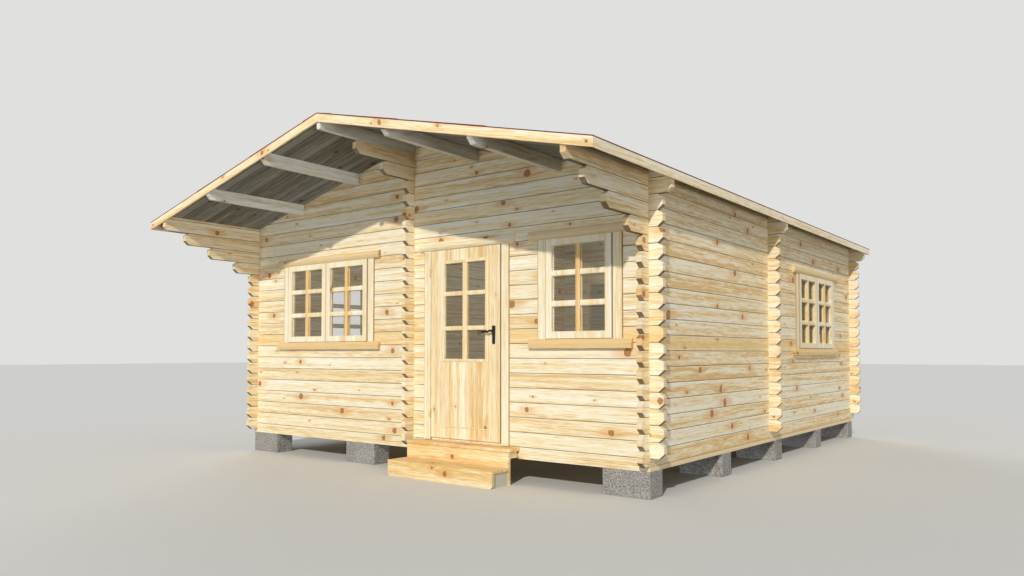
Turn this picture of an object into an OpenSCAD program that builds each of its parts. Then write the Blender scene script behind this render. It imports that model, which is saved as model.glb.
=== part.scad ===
// Summer house of notched logs: two front rooms, a back room and a deep gabled porch roof.
// Millimetres, +Z up. The origin is on the ground under the middle of the roof; the front faces -Y.

/* [House] */
// Width over the outer faces of the side walls
house_w = 5416; // [5000:4:5800]
// Depth over the outer faces of the front and back walls
house_d = 6070; // [5800:10:6600]
// Front face to the middle of the cross wall
cross_at = 2785; // [2500:5:2950]
// Height of the concrete blocks
block_h = 224; // [180:2:260]
// Length of a concrete block
block_l = 450; // [390:5:500]
// Width of a concrete block
block_w = 220; // [190:5:250]
// Front blocks between the corner ones, from the middle of the house
block_x = 788; // [700:4:900]
// Height of the base beams
base_h = 40; // [30:1:60]
// Thickness of the floor boards
floor_t = 28; // [19:1:40]

/* [Logs] */
// Height of one log course
log_h = 135; // [132:0.5:138]
// Thickness of the logs
log_t = 50; // [44:1:58]
// Bevel along the log edges
log_bevel = 6; // [3:0.5:9]
// Ordinary log ends past the crossing wall
end_len = 127; // [100:1:150]
// Length of the cut on the corners of a log end
tip_run = 50; // [30:1:60]
// Height of the cut on the upper corners of a log end
tip_rise = 30; // [20:1:45]
// Height of the cut on the lower corners of a log end
tip_low = 42; // [25:1:55]
// Height left of the top side log at the outer face
top_log_h = 146; // [136:1:151]
// Reach of the second corbel log of the side walls
corbel_2 = 975; // [900:5:1050]
// Reach of the third corbel log of the side walls
corbel_3 = 675; // [600:5:750]
// Reach of the fourth corbel log of the side walls
corbel_4 = 340; // [280:5:420]
// Reach of the upper corbel log under the ridge
ridge_corbel_1 = 790; // [700:5:850]
// Reach of the lower corbel log under the ridge
ridge_corbel_2 = 445; // [350:5:520]

/* [Roof] */
// Slope of the roof in degrees
roof_pitch = 13.5; // [13:0.1:14]
// Roof past the front wall
front_overhang = 1238; // [1150:2:1320]
// Roof past the back wall
back_overhang = 158; // [150:1:220]
// Roof past the side walls
side_overhang = 233; // [225:1:280]
// Thickness of the roof boards
roof_t = 20; // [16:1:34]
// Thickness of the roof covering
felt_t = 4; // [3:0.5:6]
// Height of the barge and eave boards
barge_h = 78; // [70:1:100]
// Thickness of the barge and eave boards
barge_t = 20; // [16:1:26]
// Width of the purlins
purlin_w = 55; // [45:1:70]
// Height of the purlins
purlin_h = 115; // [100:1:120]
// Upper purlins from the ridge
upper_purlin = 855; // [800:5:900]
// Lower purlins from the ridge
lower_purlin = 1817; // [1750:1:1880]
// Cut on the lower front corner of a purlin
purlin_cut = 45; // [20:1:60]

/* [Windows] */
// Width of one pane between the bars
pane_w = 250; // [235:1:262]
// Height of one pane between the bars
pane_h = 224; // [215:1:230]
// Width of the sash stiles
stile_w = 68; // [55:1:78]
// Height of the sash rails
rail_h = 60; // [50:1:70]
// Width of the glazing bars
bar_w = 48; // [30:1:52]
// Thickness of the sashes
sash_t = 50; // [42:1:54]
// How far the sashes stand in front of the wall
sash_out = 28; // [20:1:30]
// Thickness of the frames round windows and door
frame_t = 40; // [32:1:46]
// Width of the casing boards
casing_w = 92; // [80:1:100]
// Thickness of the casing boards
casing_t = 16; // [12:1:20]
// Thickness of the glass
glass_t = 4; // [3:0.5:6]
// Glass from the inner face of sash and leaf
glass_in = 10; // [6:1:14]
// Height of the moulded heads and sills
head_h = 84; // [70:1:95]
// How far the moulded heads and sills stand out
head_out = 40; // [34:1:48]
// Middle of the front left window, as a share of the house's width
window_left_x = -0.249; // [-0.256:0.001:-0.244]
// Middle of the front right window, as a share of the house's width
window_right_x = 0.375; // [0.371:0.001:0.379]
// Middle of the right wall window behind the middle of the back room
window_back_y = 10; // [-60:1:60]
// Middle of the left wall window behind the middle of the left room
window_side_y = 39; // [-100:1:100]

/* [Door] */
// Middle of the door, as a share of the house's width
door_x = 0.134; // [0.13:0.001:0.138]
// Width of the door leaf
leaf_w = 888; // [860:1:900]
// Height of the door leaf
leaf_h = 1854; // [1800:1:1870]
// Thickness of the door leaf
leaf_t = 40; // [36:1:46]
// Clearance round the door leaf
leaf_gap = 5; // [5:0.5:7]
// Width of the glazed opening of the door
light_w = 560; // [500:1:600]
// Height of the glazed opening of the door
light_h = 976; // [900:1:1000]
// Lower edge of the glazed opening above the leaf's lower edge
light_z = 758; // [700:1:800]
// Radius of the hinge pins
pin_r = 4; // [3:0.25:5]
// Running clearance of the hinge sleeves
pin_gap = 0.1; // [0.05:0.01:0.1]
// Outer radius of the hinge knuckles
knuckle_r = 7; // [6.5:0.25:8]
// Lower hinge above the leaf's lower edge
hinge_low = 200; // [150:5:300]
// Upper hinge below the leaf's upper edge
hinge_high = 250; // [200:5:350]
// Height of the door handle above the leaf's lower edge
handle_z = 1043; // [950:1:1100]
// Length of the lever
lever_l = 122; // [120:1:165]
// Middle of the handle's plate from the leaf's edge
backset = 76; // [66:1:96]
// Height of the handle's plate
plate_h = 176; // [150:1:220]
// Width of the inner doorways in the cross wall
inner_door_w = 820; // [760:5:860]
// Middle of the inner doorways, as a share of the house's width
inner_door_x = 0.148; // [0.144:0.001:0.153]
// Thickness of the lining in the inner doorways
lining_t = 20; // [15:1:26]

/* [Step] */
// Width of the step
step_w = 1310; // [1200:5:1400]
// Depth of the step at the ground
step_d = 402; // [370:2:440]
// Depth of the upper tread
upper_tread_d = 165; // [145:1:190]
// Upper tread above the wall's lower edge
upper_tread_z = 100; // [90:1:104]
// Lower tread below the wall's lower edge
lower_tread_z = -70; // [-90:1:-55]
// Thickness of the step boards
step_t = 28; // [22:1:32]
// Rounding of the step corners
step_r = 30; // [20:1:40]

/* [Hidden] */
$fn = 48;
front_y = (front_overhang - house_d - back_overhang) / 2;
half_w = house_w / 2;
side_top = 17;
wall_top = base_h + side_top * log_h + top_log_h;
rise = tan(roof_pitch);
under_ridge = wall_top + rise * half_w;
roof_v = roof_t / cos(roof_pitch);
felt_v = felt_t / cos(roof_pitch);
barge_v = barge_h / cos(roof_pitch);
eave_x = half_w + side_overhang;
roof_front = -front_overhang;
roof_back = house_d + back_overhang;
eave_top = 16;
tip_gap = 5;
eave_tip = eave_x - barge_t - tip_gap;
ridge_min = 60;
ridge_log = floor((under_ridge - base_h - ridge_min) / log_h);
seat_gap = 0.1;
door_z = base_h + log_h / 2;
door_mid = round(door_x * house_w);
window_left_mid = round(window_left_x * house_w);
window_right_mid = round(window_right_x * house_w);
window_back_mid = (cross_at + house_d) / 2 + window_back_y;
window_side_mid = cross_at / 2 + window_side_y;
inner_door_mid = round(inner_door_x * house_w);
sill_t = 20;
sash_w = 2 * stile_w + 2 * pane_w + bar_w;
sash_h = 2 * rail_h + 3 * pane_h + 2 * bar_w;
sash_gap = 2;
window_h = sash_h + 2 * sash_gap + 2 * frame_t;
front_window_z = door_z + 7 * log_h;
side_window_z = base_h + 7 * log_h;
stop_w = 12;
rebate = 8;
window_head = 0.29;
head_round = 0.7;
sill_face = 0.42;
door_head = 0.19;
head_gap = window_right_mid - clear_w(1) / 2 - door_mid - leaf_w / 2 - leaf_gap - 2 * casing_w;
door_clear_w = leaf_w + 2 * leaf_gap;
door_clear_h = sill_t + leaf_h + 2 * leaf_gap;
door_hole_w = door_clear_w + 2 * frame_t;
door_hole_top = door_z + door_clear_h + frame_t;
gable_z = door_z + 14 * log_h;
leaf_z = door_z + sill_t + leaf_gap;
leaf_front = -22;
hinge_x = door_mid - leaf_w / 2 - leaf_gap / 2;
hinge_y = leaf_front - 5 - knuckle_r;
hinge_h = 40;
hinge_leaf = 26;
hinge_t = 3;
plate_t = 6;
plate_r = 18;
plate_top = 50;
neck_l = 40;
neck_r = 10;
lever_t = 12;
tip_r = 7;
inner_door_top = door_z + 13 * log_h;
tread_nose = 15;
tread_in = 8;
riser_in = 12;
side_in = 20;
cleat_h = 60;
riser_y = tread_nose - upper_tread_d;
step_side = [step_w / 2 - side_in - step_t, step_w / 2 - side_in];
pine = [0.93, 0.83, 0.60];
shade_pine = [0.87, 0.76, 0.55];
orange_pine = [0.91, 0.72, 0.42];

// Lower edge of course k in the walls that run left to right, and of course k in those that run front to back
function x_joint(k) = base_h + log_h * (k + 0.5);
function y_joint(k) = base_h + log_h * k;

// Underside of the roof above the point x
function roof_under(x) = under_ridge - rise * abs(x);

// Roof line moved up by v, from the ridge to the point x
function slope_band(x, low, high) = [[0, under_ridge + low], [x, roof_under(x) + low],
    [x, roof_under(x) + high], [0, under_ridge + high]];

// Tips of the front to back walls at course k
function side_front(k) = k == side_top ? roof_front + barge_t
    : k == side_top - 1 ? -corbel_2
    : k == side_top - 2 ? -corbel_3
    : k == side_top - 3 ? -corbel_4 : -end_len;
function side_back(k) = k == side_top ? roof_back - barge_t : house_d + end_len;
function partition_front(k) = k == ridge_log - 1 ? -ridge_corbel_1
    : k == ridge_log - 2 ? -ridge_corbel_2 : -end_len;

// Section of a log wall with bevelled joints, its top cut between two heights
function log_section(z0, joints, top_0, top_1) = concat(
    [[log_bevel, z0], [0, z0 + log_bevel]],
    [for (z = joints) each [[0, z - log_bevel], [log_bevel, z], [0, z + log_bevel]]],
    [[0, top_0], [log_t, top_1]],
    [for (i = [len(joints) - 1:-1:0]) each [[log_t, joints[i] + log_bevel],
        [log_t - log_bevel, joints[i]], [log_t, joints[i] - log_bevel]]],
    [[log_t, z0 + log_bevel], [log_t - log_bevel, z0]]);

// Log ends on the right side of a left to right wall, from the lowest to the eaves
function x_ends() = let (tip = half_w + end_len) concat(
    [[half_w, base_h], [half_w, x_joint(0)]],
    [for (k = [0:eave_top - 1]) each [[tip - tip_run, x_joint(k)], [tip, x_joint(k) + tip_low],
        [tip, x_joint(k + 1) - tip_rise]]],
    [[tip - tip_run, x_joint(eave_top)], [eave_tip - tip_run, x_joint(eave_top)],
        [eave_tip, x_joint(eave_top) + tip_low], [eave_tip, x_joint(eave_top + 1) - tip_rise],
        [eave_tip - tip_run, x_joint(eave_top + 1)],
        [eave_tip - tip_run, roof_under(eave_tip - tip_run)]]);

function mirrored(points) = [for (i = [len(points) - 1:-1:0]) [-points[i][0], points[i][1]]];

module place() {
    translate([0, front_y, block_h]) children();
}

// A profile in X and Z drawn out along Y, and one in Y and Z drawn out along X
module along_y(y0, y1) {
    translate([0, y1, 0]) rotate([90, 0, 0]) linear_extrude(y1 - y0) children();
}

module along_x(x0, x1) {
    translate([x0, 0, 0]) rotate([90, 0, 90]) linear_extrude(x1 - x0) children();
}

module block(x, y, z) {
    translate([x[0], y[0], z[0]]) cube([x[1] - x[0], y[1] - y[0], z[1] - z[0]]);
}

// The middle half of every crossing log, which the notches of a left to right wall leave free
module notches_for_y_walls(x, top) {
    for (k = [0:top]) {
        block([x, x + log_t], [-1, log_t + 1], [y_joint(k) + log_h / 4, y_joint(k) + log_h * 3 / 4]);
    }
}

module notches_for_x_walls(y, x, top) {
    block([x - 1, x + log_t + 1], [y, y + log_t], [base_h - 1, base_h + log_h / 4]);
    for (k = [0:top]) {
        block([x - 1, x + log_t + 1], [y, y + log_t], [x_joint(k) + log_h / 4, x_joint(k) + log_h * 3 / 4]);
    }
}

// One gabled wall of logs that runs left to right, its outer face at the local zero
module gable_wall(partition) {
    difference() {
        intersection() {
            along_x(-eave_x, eave_x) polygon(log_section(base_h, [for (k = [0:ridge_log]) x_joint(k)],
                under_ridge + 100, under_ridge + 100));
            along_y(-1, log_t + 1) polygon(concat(x_ends(), [[0, under_ridge]], mirrored(x_ends())));
        }
        notches_for_y_walls(-half_w, side_top);
        notches_for_y_walls(half_w - log_t, side_top);
        if (partition) {
            notches_for_y_walls(-log_t / 2, ridge_log - 1);
        }
        purlin_bodies(-1, log_t + 1, 0);
    }
}

module front_wall() {
    difference() {
        gable_wall(true);
        window_hole(window_left_mid, 2);
        window_hole(window_right_mid, 1);
    }
}

module window_hole(x, sashes) {
    w = hole_w(sashes) / 2;
    block([x - w, x + w], [-1, log_t + 1], [front_window_z, front_window_z + window_h]);
}

function hole_w(sashes) = clear_w(sashes) + 2 * frame_t;
function clear_w(sashes) = sashes * sash_w + (sashes + 1) * sash_gap;

module front_half_log() {
    color(pine) place() intersection() {
        front_wall();
        block([-half_w, half_w], [-1, log_t + 1], [base_h - 1, door_z]);
    }
}

module front_wall_left() {
    color(pine) place() intersection() {
        front_wall();
        block([-eave_x, door_mid - door_hole_w / 2], [-1, log_t + 1], [door_z, gable_z]);
    }
}

module front_wall_right() {
    color(pine) place() intersection() {
        front_wall();
        block([door_mid + door_hole_w / 2, eave_x], [-1, log_t + 1], [door_z, gable_z]);
    }
}

module front_gable() {
    color(shade_pine) place() difference() {
        intersection() {
            front_wall();
            block([-eave_x, eave_x], [-1, log_t + 1], [gable_z, under_ridge + 1]);
        }
        block([door_mid - door_hole_w / 2, door_mid + door_hole_w / 2], [-1, log_t + 1],
            [gable_z - 1, door_hole_top]);
    }
}

module back_wall() {
    color(pine) place() translate([0, house_d - log_t, 0]) gable_wall(false);
}

module cross_wall() {
    color(pine) place() translate([0, cross_at - log_t / 2, 0]) difference() {
        gable_wall(true);
        for (side = [-1, 1]) {
            block([side * inner_door_mid - inner_door_w / 2, side * inner_door_mid + inner_door_w / 2],
                [-1, log_t + 1], [door_z, inner_door_top]);
        }
    }
}

// Outline of a side wall in Y and Z, with the stepped corbels at the front
function side_ends(tips, last) = [for (k = [0:last]) each concat(
    k > 0 && tips[k] == tips[k - 1] ? [] : [[tips[k] - sign(tips[k]) * tip_run, y_joint(k)]],
    [[tips[k], y_joint(k) + tip_low]],
    k == side_top && last == side_top ? [[tips[k], y_joint(k + 1) + log_h]]
        : [[tips[k], y_joint(k + 1) - tip_rise], [tips[k] - sign(tips[k]) * tip_run, y_joint(k + 1)]])];

function reversed(points) = [for (i = [len(points) - 1:-1:0]) points[i]];

module side_wall() {
    fronts = [for (k = [0:side_top]) side_front(k)];
    backs = [for (k = [0:side_top]) side_back(k)];
    difference() {
        intersection() {
            along_y(roof_front, roof_back) translate([half_w, 0]) mirror([1, 0])
                polygon(log_section(base_h, [for (k = [1:side_top]) y_joint(k)],
                    wall_top, roof_under(half_w - log_t)));
            along_x(half_w - log_t - 1, half_w + 1)
                polygon(concat(side_ends(backs, side_top), reversed(side_ends(fronts, side_top))));
        }
        notches_for_x_walls(0, half_w - log_t, side_top);
        notches_for_x_walls(cross_at - log_t / 2, half_w - log_t, side_top);
        notches_for_x_walls(house_d - log_t, half_w - log_t, side_top);
    }
}

module right_wall() {
    color(pine) place() difference() {
        side_wall();
        side_window_hole(window_back_mid, 2);
    }
}

module left_wall() {
    color(pine) place() mirror([1, 0, 0]) difference() {
        side_wall();
        side_window_hole(window_side_mid, 1);
    }
}

module side_window_hole(y, sashes) {
    w = hole_w(sashes) / 2;
    block([half_w - log_t - 1, half_w + 1], [y - w, y + w], [side_window_z, side_window_z + window_h]);
}

module room_partition() {
    last = ridge_log - 1;
    back = cross_at + log_t / 2;
    fronts = [for (k = [0:last]) partition_front(k)];
    color(pine) place() difference() {
        intersection() {
            along_y(roof_front, back) translate([-log_t / 2, 0])
                polygon(log_section(base_h, [for (k = [1:last]) y_joint(k)], y_joint(ridge_log),
                    y_joint(ridge_log)));
            along_x(-log_t, log_t) polygon(concat([[back, y_joint(0)], [back, y_joint(ridge_log)]],
                reversed(side_ends(fronts, last))));
        }
        notches_for_x_walls(0, -log_t / 2, last);
        notches_for_x_walls(cross_at - log_t / 2, -log_t / 2, last);
    }
}

module base_beams() {
    color(shade_pine) place() {
        for (y = [0, cross_at - log_t / 2, house_d - log_t]) {
            block([-half_w, half_w], [y, y + log_t], [0, base_h]);
        }
        for (x = [-half_w, half_w - log_t]) {
            block([x, x + log_t], [0, house_d], [0, base_h]);
        }
        block([-log_t / 2, log_t / 2], [0, cross_at], [0, base_h]);
    }
}

module floor_boards() {
    in_x = half_w - log_t;
    rooms = [[[-in_x, -log_t / 2], [log_t, cross_at - log_t / 2]],
        [[log_t / 2, in_x], [log_t, cross_at - log_t / 2]],
        [[-in_x, in_x], [cross_at + log_t / 2, house_d - log_t]]];
    color(shade_pine) place() for (room = rooms) {
        block(room[0], room[1], [door_z - floor_t, door_z]);
    }
}

// Ridge piece and the four purlins as one set of bodies from y0 to y1
module purlin_bodies(y0, y1, cut) {
    ridge_body(y0, y1);
    purlin_pair(upper_purlin, y0, y1, cut);
    purlin_pair(lower_purlin, y0, y1, cut);
}

module ridge_body(y0, y1) {
    edge = log_t / 2;
    along_y(y0, y1) polygon([[-edge, y_joint(ridge_log)], [edge, y_joint(ridge_log)],
        [edge, roof_under(edge)], [0, under_ridge], [-edge, roof_under(edge)]]);
}

module purlin_pair(x, y0, y1, cut) {
    a = x - purlin_w / 2;
    b = x + purlin_w / 2;
    low = roof_under(x) - purlin_h;
    for (side = [0, 1]) {
        mirror([side, 0, 0]) difference() {
            along_y(y0, y1) polygon([[a, low], [b, low], [b, roof_under(b)], [a, roof_under(a)]]);
            if (cut > 0) {
                along_x(a - 1, b + 1) polygon([[y0 - 1, low - 1], [y0 + cut, low - 1], [y0 + cut, low],
                    [y0, low + cut], [y0 - 1, low + cut]]);
            }
        }
    }
}

module ridge_purlin() {
    color(shade_pine) place() ridge_body(roof_front + barge_t, roof_back - barge_t);
}

module upper_purlins() {
    color(shade_pine) place()
        purlin_pair(upper_purlin, roof_front + barge_t, roof_back - barge_t, purlin_cut);
}

module lower_purlins() {
    color(shade_pine) place()
        purlin_pair(lower_purlin, roof_front + barge_t, roof_back - barge_t, purlin_cut);
}

module roof_slope() {
    along_y(roof_front + barge_t, roof_back - barge_t)
        polygon(slope_band(eave_x - barge_t, seat_gap, roof_v));
}

module right_roof_boards() {
    color([0.55, 0.48, 0.38]) place() roof_slope();
}

module left_roof_boards() {
    color([0.55, 0.48, 0.38]) place() mirror([1, 0, 0]) roof_slope();
}

module roof_felt() {
    low = slope_band(eave_x, roof_v, roof_v + felt_v);
    color([0.36, 0.10, 0.09]) place() along_y(roof_front, roof_back)
        polygon([low[0], low[1], low[2], low[3], [-low[2][0], low[2][1]], [-low[1][0], low[1][1]]]);
}

module barge(y) {
    along_y(y, y + barge_t) polygon(slope_band(eave_x, roof_v - barge_v, roof_v));
}

module front_right_barge() {
    color(orange_pine) place() barge(roof_front);
}

module front_left_barge() {
    color(orange_pine) place() mirror([1, 0, 0]) barge(roof_front);
}

module back_right_barge() {
    color(orange_pine) place() barge(roof_back - barge_t);
}

module back_left_barge() {
    color(orange_pine) place() mirror([1, 0, 0]) barge(roof_back - barge_t);
}

module eave_boards() {
    x = eave_x - barge_t;
    color(orange_pine) place() for (side = [0, 1]) {
        mirror([side, 0, 0]) along_y(roof_front + barge_t, roof_back - barge_t)
            polygon([[x, roof_under(x) + roof_v - barge_v], [eave_x, roof_under(eave_x) + roof_v - barge_v],
                [eave_x, roof_under(eave_x) + roof_v], [x, roof_under(x) + roof_v]]);
    }
}

// Window pieces stand on the middle of the hole's lower edge, with the outer wall face at the local zero
module window_frame(sashes) {
    w = hole_w(sashes) / 2;
    c = clear_w(sashes) / 2;
    top = window_h - frame_t;
    difference() {
        block([-w, w], [0, log_t], [0, window_h]);
        block([-c, c], [-1, sash_t - sash_out], [frame_t, top]);
        block([stop_w - c, c - stop_w], [0, log_t + 1], [frame_t + stop_w, top - stop_w]);
    }
    for (side = [-1, 1]) {
        block(side < 0 ? [-c - casing_w, -c] : [c, c + casing_w], [-casing_t, 0], [frame_t, top]);
    }
    reach = c + casing_w + window_head * head_gap;
    head_moulding(reach, top);
    sill(reach, frame_t);
}

// Moulded head with a bulging front, and a sill that falls towards its upright face
module head_moulding(reach, z) {
    round_r = head_round * head_h;
    along_x(-reach, reach) translate([0, z]) intersection() {
        translate([-2 * head_out, 0]) square([2 * head_out, head_h]);
        translate([round_r - head_out, head_h / 2]) circle(round_r);
    }
}

module sill(reach, z) {
    along_x(-reach, reach) translate([0, z - head_h])
        polygon([[0, 0], [0, head_h], [-casing_t, head_h], [-head_out, sill_face * head_h], [-head_out, 0]]);
}

module window_sashes(sashes) {
    difference() {
        for (i = [0:sashes - 1]) {
            sash_body(sash_x(sashes, i));
        }
        window_glass(sashes);
    }
}

function sash_x(sashes, i) = -clear_w(sashes) / 2 + sash_gap + i * (sash_w + sash_gap);

module sash_body(x) {
    z = frame_t + sash_gap;
    difference() {
        block([x, x + sash_w], [-sash_out, sash_t - sash_out], [z, z + sash_h]);
        block([x + stile_w, x + sash_w - stile_w], [-sash_out - 1, log_t], [z + rail_h, z + sash_h - rail_h]);
    }
}

module window_glass(sashes) {
    z = frame_t + sash_gap + rail_h - rebate;
    inner = sash_t - sash_out - glass_in;
    for (i = [0:sashes - 1]) {
        x = sash_x(sashes, i);
        block([x + stile_w - rebate, x + sash_w - stile_w + rebate], [inner - glass_t, inner],
            [z, z + sash_h - 2 * rail_h + 2 * rebate]);
    }
}

module at_front(x) {
    place() translate([x, 0, front_window_z]) children();
}

module at_right(y) {
    place() translate([half_w, y, side_window_z]) rotate([0, 0, 90]) children();
}

module at_left(y) {
    place() translate([-half_w, y, side_window_z]) rotate([0, 0, -90]) children();
}

module front_left_window_frame() {
    color(pine) at_front(window_left_mid) window_frame(2);
}

module front_left_window_sashes() {
    color(pine) at_front(window_left_mid) window_sashes(2);
}

module front_left_window_glass() {
    color([0.8, 0.88, 0.9, 0.35]) at_front(window_left_mid) window_glass(2);
}

module front_right_window_frame() {
    color(pine) at_front(window_right_mid) window_frame(1);
}

module front_right_window_sash() {
    color(pine) at_front(window_right_mid) window_sashes(1);
}

module front_right_window_glass() {
    color([0.8, 0.88, 0.9, 0.35]) at_front(window_right_mid) window_glass(1);
}

module right_window_frame() {
    color(pine) at_right(window_back_mid) window_frame(2);
}

module right_window_sashes() {
    color(pine) at_right(window_back_mid) window_sashes(2);
}

module right_window_glass() {
    color([0.8, 0.88, 0.9, 0.35]) at_right(window_back_mid) window_glass(2);
}

module left_window_frame() {
    color(pine) at_left(window_side_mid) window_frame(1);
}

module left_window_sash() {
    color(pine) at_left(window_side_mid) window_sashes(1);
}

module left_window_glass() {
    color([0.8, 0.88, 0.9, 0.35]) at_left(window_side_mid) window_glass(1);
}

module inner_door_linings() {
    w = inner_door_w / 2;
    color(pine) place() for (side = [-1, 1]) {
        translate([side * inner_door_mid, cross_at - log_t / 2, 0]) difference() {
            block([-w, w], [0, log_t], [door_z, inner_door_top]);
            block([lining_t - w, w - lining_t], [-1, log_t + 1], [door_z - 1, inner_door_top - lining_t]);
        }
    }
}

// Frame with a stop behind the leaf, a sill underfoot, casing boards and a head moulding
module door_frame() {
    w = door_hole_w / 2;
    c = door_clear_w / 2;
    top = door_hole_top - frame_t;
    stop_y = leaf_front + leaf_t + leaf_gap;
    color(pine) place() translate([door_mid, 0, 0]) {
        difference() {
            block([-w, w], [0, log_t], [door_z, door_hole_top]);
            block([-c, c], [-1, stop_y], [door_z + sill_t, top]);
            block([stop_w - c, c - stop_w], [0, log_t + 1], [door_z + sill_t, top - stop_w]);
        }
        for (side = [-1, 1]) {
            block(side < 0 ? [-c - casing_w, -c] : [c, c + casing_w], [-casing_t, 0], [door_z, top]);
        }
        head_moulding(c + casing_w + door_head * head_gap, top);
    }
}

module door_leaf() {
    w = leaf_w / 2;
    color(pine) place() translate([door_mid, leaf_front, leaf_z]) difference() {
        block([-w, w], [0, leaf_t], [0, leaf_h]);
        block([-light_w / 2, light_w / 2], [-1, leaf_t + 1], [light_z, light_z + light_h]);
        door_pane();
    }
}

module door_pane() {
    w = light_w / 2 + rebate;
    block([-w, w], [leaf_t - glass_in - glass_t, leaf_t - glass_in],
        [light_z - rebate, light_z + light_h + rebate]);
}

module door_glass() {
    color([0.8, 0.88, 0.9, 0.35]) place() translate([door_mid, leaf_front, leaf_z]) door_pane();
}

// Long back plate and a lever that turns in towards the middle of the leaf, on both faces
module door_handle() {
    x = door_mid + leaf_w / 2 - backset;
    color([0.05, 0.05, 0.05]) place() translate([x, leaf_front, leaf_z + handle_z]) {
        handle_half();
        translate([0, leaf_t, 0]) mirror([0, 1, 0]) handle_half();
    }
}

module handle_half() {
    along_y(-plate_t, 0) translate([0, plate_top]) {
        translate([0, -plate_r]) circle(plate_r);
        translate([0, plate_r - plate_h]) circle(plate_r);
        translate([-plate_r, plate_r - plate_h]) square([2 * plate_r, plate_h - 2 * plate_r]);
    }
    along_y(-neck_l, -plate_t) circle(neck_r);
    along_y(-neck_l - lever_t / 2, -neck_l + lever_t / 2) {
        circle(neck_r);
        translate([tip_r - lever_l, 0]) circle(tip_r);
        polygon([[0, neck_r], [tip_r - lever_l, tip_r], [tip_r - lever_l, -tip_r], [0, -neck_r]]);
    }
}

// Lower knuckles with their pins on the frame, and the sleeves that turn on them
function hinge_heights() = [leaf_z + hinge_low, leaf_z + leaf_h - hinge_high];

module door_hinge_pins() {
    color([0.55, 0.55, 0.55]) place() for (z = hinge_heights()) {
        translate([hinge_x, hinge_y, z]) {
            cylinder(r = knuckle_r, h = hinge_h);
            cylinder(r = pin_r, h = 2 * hinge_h);
            block([-hinge_leaf, 0], [-casing_t - hinge_t - hinge_y, -casing_t - hinge_y], [0, hinge_h]);
            block([-hinge_t, 0], [0, -casing_t - hinge_y], [0, hinge_h]);
        }
    }
}

module door_hinge_sleeves() {
    color([0.55, 0.55, 0.55]) place() for (z = hinge_heights()) {
        translate([hinge_x, hinge_y, z + hinge_h + 0.5]) difference() {
            union() {
                cylinder(r = knuckle_r, h = hinge_h);
                block([0, hinge_leaf], [leaf_front - hinge_t - hinge_y, leaf_front - hinge_y], [0, hinge_h]);
                block([0, knuckle_r - hinge_t], [0, leaf_front - hinge_y], [0, hinge_h]);
            }
            translate([0, 0, -1]) cylinder(r = pin_r + pin_gap, h = hinge_h + 2);
        }
    }
}

// Boards with rounded corners, drawn in plan or in elevation
module rounded(w, d) {
    translate([-w / 2 + step_r, step_r]) circle(step_r);
    translate([w / 2 - step_r, step_r]) circle(step_r);
    translate([-w / 2 + step_r, 0]) square([w - 2 * step_r, d]);
    translate([-w / 2, step_r]) square([w, d - step_r]);
}

module step_treads() {
    color(orange_pine) place() translate([door_mid, 0, 0]) {
        translate([0, -upper_tread_d, upper_tread_z - step_t]) linear_extrude(step_t)
            rounded(step_w, upper_tread_d);
        block([tread_in - step_w / 2, step_w / 2 - tread_in], [step_t - step_d, riser_y],
            [lower_tread_z - step_t, lower_tread_z]);
    }
}

// Two risers, side boards between them, and cleats that carry the upper tread behind the upper riser
module step_box() {
    low = -block_h;
    under = upper_tread_z - step_t;
    color(orange_pine) place() translate([door_mid, 0, 0]) {
        translate([0, step_t - step_d, low]) rotate([90, 0, 0]) linear_extrude(step_t)
            rounded(step_w, lower_tread_z - low);
        block([riser_in - step_w / 2, step_w / 2 - riser_in], [riser_y, riser_y + step_t], [low, under]);
        for (side = [0, 1]) {
            mirror([side, 0, 0]) {
                block(step_side, [step_t - step_d, riser_y], [low, lower_tread_z - step_t]);
                block(step_side, [riser_y + step_t, -casing_t], [under - cleat_h, under]);
            }
        }
    }
}

module concrete_blocks() {
    rows = [for (i = [0:4]) i * (house_d - block_w) / 4];
    color([0.55, 0.55, 0.56]) place() {
        for (y = rows, side = [-1, 1]) {
            block(side < 0 ? [-half_w, block_l - half_w] : [half_w - block_l, half_w], [y, y + block_w],
                [-block_h, 0]);
        }
        for (y = [rows[0], rows[4]], side = [-1, 1]) {
            block([side * block_x - block_l / 2, side * block_x + block_l / 2], [y, y + block_w],
                [-block_h, 0]);
        }
    }
}

front_half_log();
front_wall_left();
front_wall_right();
front_gable();
back_wall();
left_wall();
right_wall();
cross_wall();
room_partition();
base_beams();
floor_boards();
ridge_purlin();
upper_purlins();
lower_purlins();
left_roof_boards();
right_roof_boards();
roof_felt();
front_left_barge();
front_right_barge();
back_left_barge();
back_right_barge();
eave_boards();
front_left_window_frame();
front_left_window_sashes();
front_left_window_glass();
front_right_window_frame();
front_right_window_sash();
front_right_window_glass();
right_window_frame();
right_window_sashes();
right_window_glass();
left_window_frame();
left_window_sash();
left_window_glass();
inner_door_linings();
door_frame();
door_leaf();
door_glass();
door_handle();
door_hinge_pins();
door_hinge_sleeves();
step_treads();
step_box();
concrete_blocks();
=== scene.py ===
import math

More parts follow.
